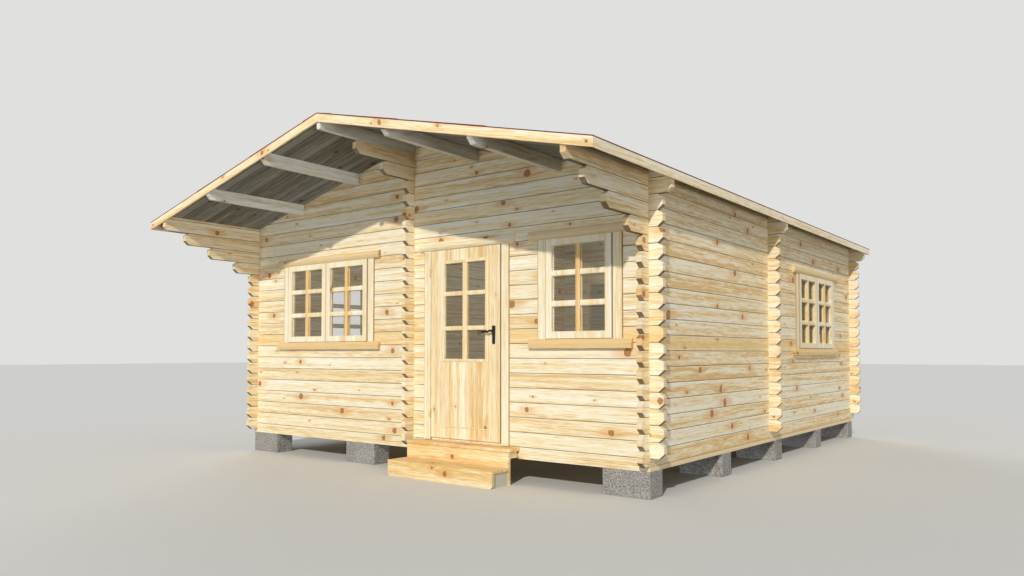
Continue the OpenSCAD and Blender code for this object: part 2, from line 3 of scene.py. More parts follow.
import bpy
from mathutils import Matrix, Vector


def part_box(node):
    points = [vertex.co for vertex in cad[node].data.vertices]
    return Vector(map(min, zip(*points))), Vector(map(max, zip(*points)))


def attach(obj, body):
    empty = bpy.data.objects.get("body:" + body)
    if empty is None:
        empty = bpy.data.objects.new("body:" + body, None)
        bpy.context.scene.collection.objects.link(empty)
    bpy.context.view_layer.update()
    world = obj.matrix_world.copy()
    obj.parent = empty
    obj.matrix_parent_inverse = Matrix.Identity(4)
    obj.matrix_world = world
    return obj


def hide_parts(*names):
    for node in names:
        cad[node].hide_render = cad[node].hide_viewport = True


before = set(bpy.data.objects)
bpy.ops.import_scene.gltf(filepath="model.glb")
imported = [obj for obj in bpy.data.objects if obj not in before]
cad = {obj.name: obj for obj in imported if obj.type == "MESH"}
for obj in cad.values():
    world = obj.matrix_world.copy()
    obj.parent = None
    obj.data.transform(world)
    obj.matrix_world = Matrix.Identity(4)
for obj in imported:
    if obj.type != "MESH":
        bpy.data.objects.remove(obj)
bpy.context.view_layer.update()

# Places and sizes in metres, read from the solids where they have them
COURSE, LOG_HALF = 0.135, 0.025
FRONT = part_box("front_wall_left")[0][1]
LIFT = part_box("concrete_blocks")[1][2]
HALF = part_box("base_beams")[1][0]
SIDE_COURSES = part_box("base_beams")[1][2]
CROSS_COURSES = SIDE_COURSES + COURSE / 2
CROSS_WALL = (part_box("cross_wall")[0][1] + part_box("cross_wall")[1][1]) / 2
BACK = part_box("back_wall")[1][1]

# Log tips: how far they stand out, and the run and height of the cut under them
TIP, TIP_RUN, TIP_LOW = 0.127, 0.05, 0.042
# Rows below the eaves, and the first row and the lengths of the corbels that carry the canopy
CROSS_ROWS, SIDE_ROWS = 16, 17
CORBEL_ROW, CORBELS = 14, (0.34, 0.675, 0.975)
RIDGE_ROW, RIDGE_CORBELS = 20, (0.445, 0.79)

# Roof
ROOF_PITCH = 13.5
RISE = math.tan(math.radians(ROOF_PITCH))
UNDER_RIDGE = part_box("ridge_purlin")[1][2]
ROOF_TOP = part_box("right_roof_boards")[1][2]
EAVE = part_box("roof_felt")[1][0]
ROOF_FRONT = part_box("roof_felt")[0][1]
ROOF_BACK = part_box("roof_felt")[1][1]
BARGE_T, BARGE_H = 0.02, 0.0805
ROOF_BOARDS = 78
BOARD_W = (ROOF_BACK - ROOF_FRONT - 2 * BARGE_T) / ROOF_BOARDS
# Felt: its thickness, the laps of its strips, its ridge strip and the lips turned down at its edges
FELT_T, LAP, LAP_LIFT, STRIP_OUT, STRIP_ROUND, RIDGE_STRIP = 0.004, 0.09, 0.0045, 0.001, 0.0012, 0.2
LIP, LIP_OUT, LIP_IN, LIP_ROUND = 0.004, 0.002, 0.001, 0.0008

# Windows
CASING, JAMB = 0.092, 0.054
PANE_W, PANE_H, BAR = 0.25, 0.224, 0.048
SASH, STILE, SASH_GAP, REBATE = 0.684, 0.068, 0.002, 0.008
GLASS_BEAD = dict(width=0.004, nose=0.002)
BEAD_DEPTH = 0.008
# How far bars stand behind the front and the back of their sash
BARS_IN = (0.0025, 0.002)

# Door and step
leaf_low, leaf_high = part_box("door_leaf")
DOOR = (leaf_low[0] + leaf_high[0]) / 2
LEAF_FACE, LEAF_BACK, LEAF_FOOT = leaf_low[1], leaf_high[1], leaf_low[2]
LEAF_GAP = 0.005
LEAF_START, LEAF_BOARD = DOOR - 0.444, 0.0972
JAMB_FOOT, JAMB_HEAD = LIFT + 0.11, LIFT + 1.98
pane_low, pane_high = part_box("door_glass")
POST, RAIL, POST_IN = 0.056, 0.044, 0.001
MOULD, INNER, MOULD_OUT = 0.011, 0.02, 0.005
# Boarded field of the leaf: its foot, its boards and the bead below them
FIELD_FOOT, FIELD_BOARDS, BOARD_OUT, BOARD_ROUND = LIFT + 0.25, 6, 0.003, 0.0025
FIELD_BEAD, BEAD_OUT, LET_IN = 0.012, 0.006, 0.004
step_low, step_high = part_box("step_box")
RISER_T, UPPER_STEP = 0.0285, 0.15
RISER = FRONT - UPPER_STEP

# Handle
HANDLE_X, HANDLE_Z = leaf_high[0] - 0.076, LEAF_FOOT + 1.043
PLATE_HALF, PLATE_T, PLATE_DOWN, PLATE_UP, PLATE_TAPER = 0.021, 0.006, 0.126, 0.05, 0.78
ROUND_SIDES, ROSE_R, LOCK_R, LOCK_DOWN = 20, 0.018, 0.0075, 0.078
LEVER_STEP = 0.0115
# Rise and growth of the lever from step to step
LEVER_WAVE = ((-0.005, 0.92), (-0.006, 0.95), (0.003, 1.12), (0.005, 1.15), (-0.004, 0.92), (-0.005, 0.8),
              (0.001, 1.05), (0.002, 1.15), (0.001, 0.55))

# Distance within which two places are the same
NEAR = 1e-4
# Depth of a sawn face that is painted as end grain, and at the ends of heads as end grain with painted
# shade
SKIN = 0.0015


# Finishes

def tint(red, green, blue):
    """A colour as a chart gives it, 0 to 255, made linear for the shader."""
    return tuple(((c / 255 + 0.055) / 1.055) ** 2.4 for c in (red, green, blue)) + (1.0,)


def scaled(tone, factor):
    """A chart colour made darker or paler, as far as white."""
    return tint(*(min(c * factor, 255) for c in tone))


class Nodes:
    """Makes and links the nodes of one tree."""

    def __init__(self, tree):
        self.tree = tree

    def node(self, kind, **settings):
        made = self.tree.nodes.new("ShaderNode" + kind)
        for key, value in settings.items():
            setattr(made, key, value)
        return made

    def feed(self, value, socket):
        """Links a socket to another one, or sets it to a plain value."""
        if isinstance(value, bpy.types.NodeSocket):
            self.tree.links.new(value, socket)
        else:
            socket.default_value = value

    def feed_all(self, values, sockets):
        for value, socket in zip(values, sockets):
            self.feed(value, socket)

    def maths(self, how, a, b=0.0, c=0.0):
        made = self.node("Math", operation=how)
        self.feed_all((a, b, c), made.inputs)
        return made.outputs[0]

    def add(self, a, b):
        return self.maths("ADD", a, b)

    def minus(self, a, b):
        return self.maths("SUBTRACT", a, b)

    def times(self, a, b):
        return self.maths("MULTIPLY", a, b)

    def over(self, a, b):
        return self.maths("DIVIDE", a, b)

    def larger(self, a, b):
        return self.maths("MAXIMUM", a, b)

    def smaller(self, a, b):
        return self.maths("MINIMUM", a, b)

    def above(self, a, b):
        return self.maths("GREATER_THAN", a, b)

    def below(self, a, b):
        return self.maths("LESS_THAN", a, b)

    def seen(self):
        """One for what the eye, gloss and glass show, zero for the light that surfaces send each other."""
        path = self.node("LightPath")
        shown = self.larger(path.outputs["Is Glossy Ray"], path.outputs["Is Transmission Ray"])
        return self.larger(path.outputs["Is Camera Ray"], shown)


class Finish(Nodes):
    """One procedural finish."""

    def __init__(self, name):
        self.material = bpy.data.materials.new(name)
        self.material.use_nodes = True
        super().__init__(self.material.node_tree)
        self.shader = self.tree.nodes["Principled BSDF"]

    def spread(self, value, low, high, to_low=0.0, to_high=1.0, how="LINEAR"):
        """Maps one range of a value to another."""
        made = self.node("MapRange", interpolation_type=how)
        sockets = [made.inputs[key] for key in ("Value", "From Min", "From Max", "To Min", "To Max")]
        self.feed_all((value, low, high, to_low, to_high), sockets)
        return made.outputs["Result"]

    def mix(self, share, a, b):
        """Two colours, which a Mix node takes at its sockets 6 and 7."""
        made = self.node("Mix", data_type="RGBA")
        self.feed_all((share, a, b), (made.inputs[0], made.inputs[6], made.inputs[7]))
        return made.outputs[2]

    def either(self, share, a, b):
        """Two numbers, which a Mix node takes at its sockets 2 and 3."""
        made = self.node("Mix", data_type="FLOAT")
        self.feed_all((share, a, b), (made.inputs[0], made.inputs[2], made.inputs[3]))
        return made.outputs[0]

    def point(self, x, y, z):
        made = self.node("CombineXYZ")
        self.feed_all((x, y, z), made.inputs)
        return made.outputs[0]

    def place(self):
        """Where a point lies on the piece."""
        return self.node("TexCoord").outputs["Object"]

    def axes(self):
        split = self.node("SeparateXYZ")
        self.feed(self.place(), split.inputs[0])
        return dict(zip("XYZ", split.outputs))

    def noise(self, place, scale=1.0, detail=2.0, rough=0.5):
        made = self.node("TexNoise")
        sockets = [made.inputs[key] for key in ("Vector", "Scale", "Detail", "Roughness")]
        self.feed_all((place, scale, detail, rough), sockets)
        return made.outputs["Fac"]

    def streaks(self, along, along_scale, across, across_scale, layer, detail=2.0):
        """Noise drawn out along the grain."""
        place = self.point(self.times(along, along_scale), self.times(across, across_scale), layer)
        return self.noise(place, 1.0, detail, 0.55)

    def lots(self, number):
        """Three chances, the same all over one board."""
        made = self.node("TexWhiteNoise", noise_dimensions="1D")
        self.feed(number, made.inputs["W"])
        return self.split_colour(made.outputs["Color"])

    def split_colour(self, colour):
        made = self.node("SeparateColor")
        self.feed(colour, made.inputs[0])
        return made.outputs

    def relief(self, height, depth, strength=1.0):
        made = self.node("Bump")
        made.inputs["Strength"].default_value = strength
        made.inputs["Distance"].default_value = depth
        self.feed(height, made.inputs["Height"])
        self.feed(made.outputs[0], self.shader.inputs["Normal"])

    def look(self, colour, roughness, **constant):
        self.feed(colour, self.shader.inputs["Base Color"])
        self.feed(roughness, self.shader.inputs["Roughness"])
        for key, value in constant.items():
            self.shader.inputs[key.replace("_", " ")].default_value = value
        return self.material


# Tones of wood: pale, middle and dark
LOG_TONES = ((252, 246, 226), (245, 227, 184), (226, 186, 126))
HONEY_TONES = ((250, 234, 196), (242, 213, 158), (224, 178, 108))
PURLIN_TONES = ((250, 250, 246), (234, 232, 220), (204, 192, 166))
BARGE_TONES = ((254, 244, 214), (247, 224, 176), (230, 188, 120))
# Roof boards: weathered grey-brown, darkened and greyed further as painted shade under the roof
SHADE_TONES = ((160, 160, 153), (132, 132, 125), (104, 98, 87))
# Halo, body and rim of a knot in the tones of the logs
KNOT_TONES = ((222, 166, 98), (182, 122, 64), (104, 64, 36))
WARM_LOG = tint(250, 212, 140)
# Darker end grain with painted shade for the ends of window heads
HEAD_END_GRAIN_AND_SHADE = tint(112, 78, 44)
TRIM = tint(216, 175, 106)
JOINT_LINE = tint(124, 90, 52)
LOG_END = tint(214, 176, 116)
# Painted shade for the undersides of log tips
TIP_SHADE = tint(96, 70, 42)
STEP_SIDE = tint(196, 196, 182)

# Knots: shift of their places from row to row, radii that put one out of sight, and length of their halo
KNOT_SHIFT, NO_KNOT, HALO = 17.31, 9.0, 3.0
BIG_KNOT = dict(per_metre=0.6, size=0.028)
SMALL_KNOT = dict(per_metre=1.3, size=0.01)
# Growth rings to the metre
RINGS = 120.0
# Streaks: scale along and across the grain, detail, and strength
BROAD, NARROW, FLECK = (0.5, 26.0, 4.0, 0.55), (4.0, 75.0, 3.0, 0.42), (8.0, 120.0, 2.0, 0.38)


def knots_of(f, run, within, row, pitch, seed, share, per_metre, size):
    """Distance to the nearest knot of each board in knot radii, round and drawn out along the grain."""
    line = f.maths("MULTIPLY_ADD", run, per_metre, f.maths("MULTIPLY_ADD", row, KNOT_SHIFT, seed))
    cells = f.node("TexVoronoi", voronoi_dimensions="1D", feature="F1")
    f.feed(line, cells.inputs["W"])
    cells.inputs["Scale"].default_value = 1.0
    lot = f.split_colour(cells.outputs["Color"])
    along = f.over(f.minus(line, cells.outputs["W"]), per_metre)
    aside = f.minus(within, f.spread(lot[1], 0, 1, pitch * 0.14, pitch * 0.86))
    radius = f.spread(lot[2], 0, 1, size * 0.6, size * 1.3)
    missing = f.times(f.above(lot[0], share), NO_KNOT)

    def reach(stretch):
        a = f.maths("POWER", f.over(f.maths("ABSOLUTE", along), stretch), 2.0)
        b = f.maths("POWER", f.maths("ABSOLUTE", aside), 2.0)
        return f.add(f.over(f.maths("SQRT", f.add(a, b)), radius), missing)

    return reach(1.0), reach(HALO)


def pine(name, run="X", across="Z", through="Y", start=0.0, pitch=COURSE, heart=0.0, seed=0.0,
         tones=LOG_TONES, warmth=0.46, boards=0.5, figure=1.0, warm_row=None, knots=1.0, joint=0.002,
         upright=None, slope=False, patches=(), rough=0.58):
    """Planed pine: growth rings about each board's heart, streaks along the grain, knots, and a tone for
    each board. Boards lie side by side from a start, one pitch apart. Warmth is their mean tone, boards is
    how much they differ, and figure is the strength of the streaks."""
    f = Finish(name)
    axes = f.axes()
    pale, mean, dark = tones

    # Row of boards, and the place within a board
    lengthways, crossways = axes[run], axes[across]
    if upright:
        turn = upright(f, axes)
        lengthways = f.either(turn, axes[run], axes[across])
        crossways = f.either(turn, axes[across], axes[run])
    if slope:
        lengthways = f.maths("ABSOLUTE", axes["X"])
        crossways = f.maths("MULTIPLY_ADD", lengthways, RISE, axes["Z"])
    from_start = f.minus(crossways, start)
    row = f.maths("FLOOR", f.over(from_start, pitch))
    within = f.minus(from_start, f.times(row, pitch))
    lot = f.lots(f.maths("MULTIPLY_ADD", row, 1.37, seed + 0.5))

    # Knots
    board = (f, lengthways, within, row, pitch)
    big, big_halo = knots_of(*board, seed + 3.7, 0.58 * knots, **BIG_KNOT)
    small, small_halo = knots_of(*board, seed + 91.3, 0.25 * knots, **SMALL_KNOT)
    ragged = f.noise(f.place(), 45.0)
    knot = f.add(f.smaller(big, small), f.spread(ragged, 0.2, 0.8, -0.3, 0.3))
    halo = f.smaller(big_halo, small_halo)

    # Growth rings, pushed aside by knots
    layer = f.maths("MULTIPLY_ADD", row, 5.13, seed)
    drift = f.streaks(lengthways, 0.6, within, 0.0, layer)
    middle = f.add(f.spread(lot[0], 0, 1, -0.02, pitch + 0.02), f.spread(drift, 0, 1, -0.09, 0.09))
    depth = f.add(f.spread(lot[1], 0, 1, -0.06, 0.06), f.minus(axes[through], heart))
    swerve = f.spread(halo, 0.0, 2.6, 0.022, 0.0, "SMOOTHSTEP")
    aside = f.add(f.minus(within, middle), swerve)
    ring = f.maths("SQRT", f.add(f.times(aside, aside), f.times(depth, depth)))
    waver = f.streaks(lengthways, 2.2, within, 26.0, layer)
    turns = f.maths("MULTIPLY_ADD", ring, RINGS, f.times(waver, 1.8))
    late = f.maths("POWER", f.maths("FRACT", turns), 2.5)
    fibre = f.noise(f.point(f.times(lengthways, 10.0), f.times(within, 420.0),
                            f.times(axes[through], 420.0)))

    # Tone of each board, with its streaks
    tone = f.spread(lot[2], 0, 1, warmth - boards / 2, warmth + boards / 2)
    for along_scale, across_scale, detail, strength in (BROAD, NARROW, FLECK):
        streak = f.streaks(lengthways, along_scale, f.add(within, swerve), across_scale, layer, detail)
        tone = f.add(tone, f.spread(streak, 0.25, 0.75, -strength * figure, strength * figure))
    if warm_row:
        hit = f.maths("COMPARE", row, warm_row, 0.4)
        tone = f.add(tone, f.times(hit, f.minus(0.55, f.times(lot[2], boards))))
    colour = f.mix(f.spread(tone, 0.0, 0.5), tint(*pale), tint(*mean))
    colour = f.mix(f.spread(tone, 0.5, 1.0), colour, tint(*dark))
    if warm_row:
        colour = f.mix(f.times(hit, 0.45), colour, WARM_LOG)
    colour = f.mix(f.times(late, 0.3 * figure), colour, scaled(dark, 0.94))
    colour = f.mix(f.spread(fibre, 0.35, 0.75, 0.0, 0.14), colour, scaled(dark, 0.88))
    for patch in patches:
        colour = f.mix(*patch(f, axes, within, colour))

    # Knots over the grain: a halo, a body and a whorled rim
    around, body, rim_tone = [tint(*(c * m / log for c, m, log in zip(shade, mean, LOG_TONES[1])))
                              for shade in KNOT_TONES]
    colour = f.mix(f.spread(halo, 0.8, 2.4, 0.48, 0.0, "SMOOTHSTEP"), colour, around)
    colour = f.mix(f.spread(knot, 0.85, 1.1, 0.92, 0.0, "SMOOTHSTEP"), colour, body)
    whorl = f.spread(f.maths("SINE", f.times(knot, 17.0)), -0.2, 1.0, 0.0, 0.45)
    rim = f.larger(whorl, f.spread(knot, 0.7, 0.95, 0.0, 0.55, "SMOOTHSTEP"))
    colour = f.mix(f.times(rim, f.spread(knot, 0.95, 1.15, 1.0, 0.0)), colour, rim_tone)

    # Dark joints between boards, and a painted highlight along the upper edge of each board, where its
    # bevel would catch the light
    if joint:
        to_next = f.minus(pitch, within)
        lip = f.spread(to_next, joint * 2.0, joint * 6.0, 0.5, 0.0, "SMOOTHSTEP")
        colour = f.mix(lip, colour, scaled(pale, 1.02))
        gap = f.spread(f.smaller(within, to_next), joint * 0.5, joint * 2.0, 0.9, 0.0, "SMOOTHSTEP")
        colour = f.mix(gap, colour, scaled(dark, 0.36))
    f.relief(f.minus(fibre, f.times(late, 0.5)), 0.0007, 0.6)
    return f.look(colour, f.spread(fibre, 0.3, 0.7, rough - 0.06, rough + 0.1), Specular_IOR_Level=0.3)


# Patches of another colour on pine. Each gives the share, the colour below and the colour of the patch.

def inside(f, value, low, high):
    """One within two limits, zero outside them."""
    return f.times(f.above(value, low), f.below(value, high))


def between(low, high):
    """True between two heights, where jambs and casing boards stand upright."""
    return lambda f, axes: inside(f, axes["Z"], low, high)


def head_end_grain_and_shade(along, low, high, foot):
    """Darker end grain, with painted shade, at both ends of a moulded head."""
    def cover(f, axes, within, colour):
        past = f.larger(f.below(axes[along], low + SKIN), f.above(axes[along], high - SKIN))
        return f.times(f.times(past, f.above(axes["Z"], foot)), 0.4), colour, HEAD_END_GRAIN_AND_SHADE
    return cover


def warm_trim(low, high):
    """Sill and head of a window, cut from warmer wood than the casing between them."""
    def cover(f, axes, within, colour):
        sill = f.times(f.below(axes["Z"], low), 0.7)
        head = f.times(f.above(axes["Z"], high), 0.5)
        return f.larger(sill, head), colour, TRIM
    return cover


def edge_lines(along, places, low, high):
    """Dark joint lines where boards end, between two heights."""
    def cover(f, axes, within, colour):
        share = 0.0
        for place in places:
            share = f.larger(share, f.maths("COMPARE", axes[along], place, 0.005))
        return f.times(f.times(share, inside(f, axes["Z"], low, high)), 0.6), colour, JOINT_LINE
    return cover


def at_tips(along, tips, here, strength, tone):
    """Where the test holds on log tips. A tip is its end, the way inwards and two heights."""
    def cover(f, axes, within, colour):
        share = 0.0
        for end, inwards, low, high in tips:
            depth = f.times(f.minus(axes[along], end), inwards)
            rows = inside(f, axes["Z"], low, high)
            share = f.larger(share, f.times(here(f, depth, within), rows))
        return f.times(share, strength), colour, tone
    return cover


def end_grain(along, tips):
    """The sawn ends of logs, a little darker than their faces."""
    return at_tips(along, tips, lambda f, depth, within: f.below(depth, SKIN), 0.28, LOG_END)


def shade_under_tips(along, tips):
    """Painted shade on the sawn undersides of log tips, which the light does not reach."""
    def here(f, depth, within):
        cut = f.maths("MULTIPLY_ADD", depth, -TIP_LOW / TIP_RUN, TIP_LOW + 0.002)
        return f.times(f.below(within, cut), f.above(depth, -0.001))
    return at_tips(along, tips, here, 0.8, TIP_SHADE)


def pale_sides(f, axes, within, colour):
    """The step's side boards, in a greyer tone than its risers."""
    out = f.above(f.maths("ABSOLUTE", f.minus(axes["X"], DOOR)), step_high[0] - DOOR - 0.05)
    behind = inside(f, axes["Y"], step_low[1] + RISER_T, RISER - 0.0005)
    return f.times(f.times(out, behind), 0.85), colour, STEP_SIDE


def clear_glass():
    f = Finish("clear_glass")
    place = f.place()
    f.relief(f.noise(place, 3.0, 1.0), 0.002, 0.2)
    smears = f.noise(place, 7.0, 3.0)
    f.material.surface_render_method = "BLENDED"
    return f.look(tint(196, 190, 172), f.spread(smears, 0.3, 0.8, 0.01, 0.06), Alpha=0.09, IOR=1.6)


def mineral_felt():
    f = Finish("mineral_felt")
    place = f.place()
    grit = f.noise(place, 600.0, 2.0, 0.7)
    wear = f.noise(place, 1.3, 3.0)
    colour = f.mix(f.spread(wear, 0.3, 0.7), tint(118, 36, 30), tint(94, 32, 28))
    colour = f.mix(f.spread(grit, 0.45, 0.75, 0.0, 0.7), colour, tint(150, 70, 58))
    colour = f.mix(f.spread(grit, 0.25, 0.42, 0.6, 0.0), colour, tint(50, 23, 21))
    f.relief(grit, 0.0015, 0.8)
    return f.look(colour, f.spread(grit, 0.3, 0.7, 0.8, 0.97))


def cast_concrete():
    f = Finish("cast_concrete")
    place = f.place()
    grains = f.noise(place, 75.0, 4.0, 0.75)
    cloud = f.noise(place, 9.0, 3.0)
    pores = f.node("TexVoronoi", feature="F1")
    f.feed(place, pores.inputs["Vector"])
    pores.inputs["Scale"].default_value = 70.0
    pit = f.spread(pores.outputs["Distance"], 0.10, 0.26, 1.0, 0.0)
    colour = f.mix(f.spread(cloud, 0.3, 0.7), tint(130, 125, 118), tint(152, 146, 138))
    colour = f.mix(f.spread(grains, 0.46, 0.66, 0.0, 0.9), colour, tint(200, 194, 184))
    colour = f.mix(f.spread(grains, 0.32, 0.5, 0.9, 0.0), colour, tint(84, 80, 76))
    colour = f.mix(f.times(pit, 0.7), colour, tint(68, 65, 62))
    f.relief(f.minus(grains, pit), 0.004, 0.8)
    return f.look(colour, f.spread(grains, 0.3, 0.7, 0.85, 0.97))


def black_iron():
    f = Finish("black_iron")
    place = f.place()
    rub = f.noise(place, 26.0, 3.0)
    colour = f.mix(f.spread(rub, 0.55, 0.8), tint(17, 17, 18), tint(38, 37, 36))
    f.relief(f.noise(place, 160.0), 0.0006, 0.5)
    return f.look(colour, f.spread(rub, 0.3, 0.7, 0.34, 0.5), Metallic=0.3)


def yellow_zinc():
    """Plated hinges, close to the wood in tone."""
    f = Finish("yellow_zinc")
    cloud = f.noise(f.place(), 90.0, 3.0)
    colour = f.mix(f.spread(cloud, 0.3, 0.7), tint(232, 212, 166), tint(218, 190, 134))
    return f.look(colour, f.spread(cloud, 0.3, 0.7, 0.32, 0.45), Metallic=0.25)


# Logs of the walls

def corbel_tips(first, lengths):
    """Tips at the front of a wall whose rows from the first one on step out to the given lengths."""
    rows = [SIDE_COURSES + (first + number) * COURSE for number in range(len(lengths) + 1)]
    steps = [(FRONT - out, 1, low, high) for out, low, high in zip(lengths, rows, rows[1:])]
    return [(FRONT - TIP, 1, 0, rows[0])] + steps


cross_top = CROSS_COURSES + CROSS_ROWS * COURSE
cross_tips = [(-HALF - TIP, 1, 0, cross_top), (HALF + TIP, -1, 0, cross_top)]
cross = dict(start=CROSS_COURSES, patches=[end_grain("X", cross_tips), shade_under_tips("X", cross_tips)])
front_logs = pine("front_logs", heart=FRONT + LOG_HALF, seed=2.0, warm_row=7.0, **cross)
cross_logs = pine("cross_logs", heart=CROSS_WALL, seed=31.0, **cross)
back_logs = pine("back_logs", heart=BACK - LOG_HALF, seed=57.0, **cross)
side = dict(run="Y", through="X", start=SIDE_COURSES)
side_tips = [(BACK + TIP, -1, 0, SIDE_COURSES + SIDE_ROWS * COURSE)] + corbel_tips(CORBEL_ROW, CORBELS)
side_wall = dict(figure=1.3, patches=[end_grain("Y", side_tips), shade_under_tips("Y", side_tips)], **side)
right_logs = pine("right_logs", heart=HALF - LOG_HALF, seed=11.0, warm_row=7.0, **side_wall)
left_logs = pine("left_logs", heart=LOG_HALF - HALF, seed=43.0, **side_wall)
ridge_tips = corbel_tips(RIDGE_ROW, RIDGE_CORBELS)
partition_logs = pine("partition_logs", seed=71.0, patches=[shade_under_tips("Y", ridge_tips)], **side)

# Beams, boards and step
base_pine = pine("base_pine", pitch=0.3, joint=0.0, seed=5.0)
purlin_pine = pine("purlin_pine", run="Y", through="X", start=UNDER_RIDGE - 0.165, pitch=0.23, joint=0.0,
                   seed=17.0, tones=PURLIN_TONES, warmth=0.4, boards=0.2, knots=1.4)
# Roof boards, in tones darkened as painted shade
roof_pine = pine("roof_pine", run="X", across="Y", through="Z", start=ROOF_FRONT + BARGE_T, pitch=BOARD_W,
                 seed=23.0, tones=SHADE_TONES, boards=0.9, knots=0.5, joint=0.0018, rough=0.75)
floor_pine = pine("floor_pine", run="Y", across="X", through="Z", start=-2.658, pitch=0.12, seed=29.0,
                  warmth=0.6)
barge_pine = pine("barge_pine", pitch=0.081, start=ROOF_TOP - BARGE_H, joint=0.0, seed=37.0,
                  tones=BARGE_TONES, warmth=0.4, boards=0.1, knots=1.6, slope=True)
eave_pine = pine("eave_pine", run="Y", through="X", pitch=0.9, joint=0.0, seed=41.0, warmth=0.5)
tread_pine = pine("tread_pine", across="Y", through="Z", pitch=0.12, start=FRONT - 0.165, joint=0.0,
                  seed=47.0, tones=HONEY_TONES, warmth=0.72, boards=0.15)
step_pine = pine("step_pine", pitch=0.16, start=-0.006, joint=0.0, seed=47.0, tones=HONEY_TONES,
                 warmth=0.58, boards=0.15, patches=[pale_sides])


# Door, linings and glazing bars

def casing_edges(low, high):
    """Both edges of the casing boards beside an opening."""
    return low - CASING, low, high, high + CASING


standing = dict(run="Z", across="X", through="Y", joint=0.0)
standing_side = dict(run="Z", across="Y", through="X", joint=0.0)
leaf_lines = edge_lines("X", (leaf_low[0], leaf_high[0]), leaf_low[2], leaf_high[2])
leaf_pine = pine("leaf_pine", start=LEAF_START, pitch=LEAF_BOARD, seed=53.0, warmth=0.66, boards=0.45,
                 figure=0.7, knots=0.5, patches=[leaf_lines], **standing)
doorway_edges = casing_edges(leaf_low[0] - LEAF_GAP, leaf_high[0] + LEAF_GAP)
door_frame_pine = pine("door_frame_pine", pitch=0.132, start=DOOR - 0.6, joint=0.0, seed=59.0, knots=0.7,
                       warmth=0.36, figure=0.8, upright=between(JAMB_FOOT, JAMB_HEAD),
                       patches=[edge_lines("X", doorway_edges, JAMB_FOOT, JAMB_HEAD)])
lining_pine = pine("lining_pine", pitch=0.2, seed=61.0, knots=0.5, **standing)
upright_bar = dict(pitch=0.15, knots=0.1, figure=0.5, tones=HONEY_TONES, warmth=0.6)
level_bar = dict(pitch=0.15, knots=0.1, figure=0.5, warmth=0.4)
bar_upright = pine("bar_upright", seed=67.0, **upright_bar, **standing)
bar_level = pine("bar_level", seed=73.0, **level_bar, **standing)
bar_upright_side = pine("bar_upright_side", seed=79.0, **upright_bar, **standing_side)
bar_level_side = pine("bar_level_side", seed=83.0, **level_bar, **standing_side)
glass = clear_glass()
felt = mineral_felt()
concrete = cast_concrete()
iron = black_iron()
zinc = yellow_zinc()


def dress(finish, *names):
    """Gives a finish to solids that keep their own mesh."""
    for name in names:
        cad[name].data.materials.clear()
        cad[name].data.materials.append(finish)


BARGES = ("front_left_barge", "front_right_barge", "back_left_barge", "back_right_barge")
PURLINS = ("ridge_purlin", "upper_purlins", "lower_purlins")
# Windows: name, number of sashes, turn of their wall
WINDOWS = [("front_left", 2, 0), ("front_right", 1, 0), ("right", 2, 90), ("left", 1, -90)]

dress(front_logs, "front_half_log", "front_wall_left", "front_wall_right", "front_gable")
dress(cross_logs, "cross_wall")
dress(back_logs, "back_wall")
dress(right_logs, "right_wall")
dress(left_logs, "left_wall")
dress(partition_logs, "room_partition")
dress(base_pine, "base_beams")
dress(floor_pine, "floor_boards")
dress(purlin_pine, *PURLINS)
dress(barge_pine, *BARGES)
dress(eave_pine, "eave_boards")
dress(tread_pine, "step_treads")
dress(step_pine, "step_box")
dress(leaf_pine, "door_leaf")
dress(door_frame_pine, "door_frame")
dress(lining_pine, "inner_door_linings")
dress(zinc, "door_hinge_pins", "door_hinge_sleeves")
dress(concrete, "concrete_blocks")
dress(glass, "door_glass", *(name + "_window_glass" for name, sashes, turn in WINDOWS))

for number, (name, sashes, turn) in enumerate(WINDOWS):
    along, through, axis = ("Y", "X", 1) if turn else ("X", "Y", 0)
    frame_low, frame_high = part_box(name + "_window_frame")
    glass_low, glass_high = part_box(name + "_window_glass")
    sash_name = name + ("_window_sashes" if sashes == 2 else "_window_sash")
    sash_low, sash_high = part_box(sash_name)
    jambs = (glass_low[2] - JAMB, glass_high[2] + JAMB)
    first, last = sash_low[axis], sash_high[axis]
    casings = casing_edges(first - SASH_GAP, last + SASH_GAP)
    patches = [warm_trim(*jambs), edge_lines(along, casings, *jambs)]
    if not turn:
        patches.append(head_end_grain_and_shade(along, frame_low[axis], frame_high[axis], jambs[1]))
    joinery = dict(through=through, joint=0.0, knots=0.15, warmth=0.36, boards=0.3)
    frame_pine = pine(name + "_frame_pine", run=along, pitch=CASING, start=0.013, seed=101.0 + 7 * number,
                      figure=0.7, upright=between(*jambs), patches=patches, **joinery)
    dress(frame_pine, name + "_window_frame")
    meeting = [first, last] + [(first + last) / 2] * (sashes - 1)
    sash_pine = pine(name + "_sash_pine", run="Z", across=along, pitch=SASH / 4,
                     start=glass_low[axis] + REBATE - STILE, seed=131.0 + 7 * number, figure=0.6,
                     patches=[edge_lines(along, meeting, *jambs)], **joinery)
    dress(sash_pine, sash_name)


# Modelling by hand

def fresh():
    """Back to object mode with nothing selected."""
    if bpy.context.object and bpy.context.object.mode != "OBJECT":
        bpy.ops.object.mode_set(mode="OBJECT")
    bpy.ops.object.select_all(action="DESELECT")


def take(piece):
    """Selects one piece alone and makes it active."""
    fresh()
    piece.select_set(True)
    bpy.context.view_layer.objects.active = piece


def settle(piece):
    """Puts a piece's place, turn and scale into its mesh."""
    take(piece)
    bpy.ops.object.transform_apply(location=True, rotation=True, scale=True)
    return piece


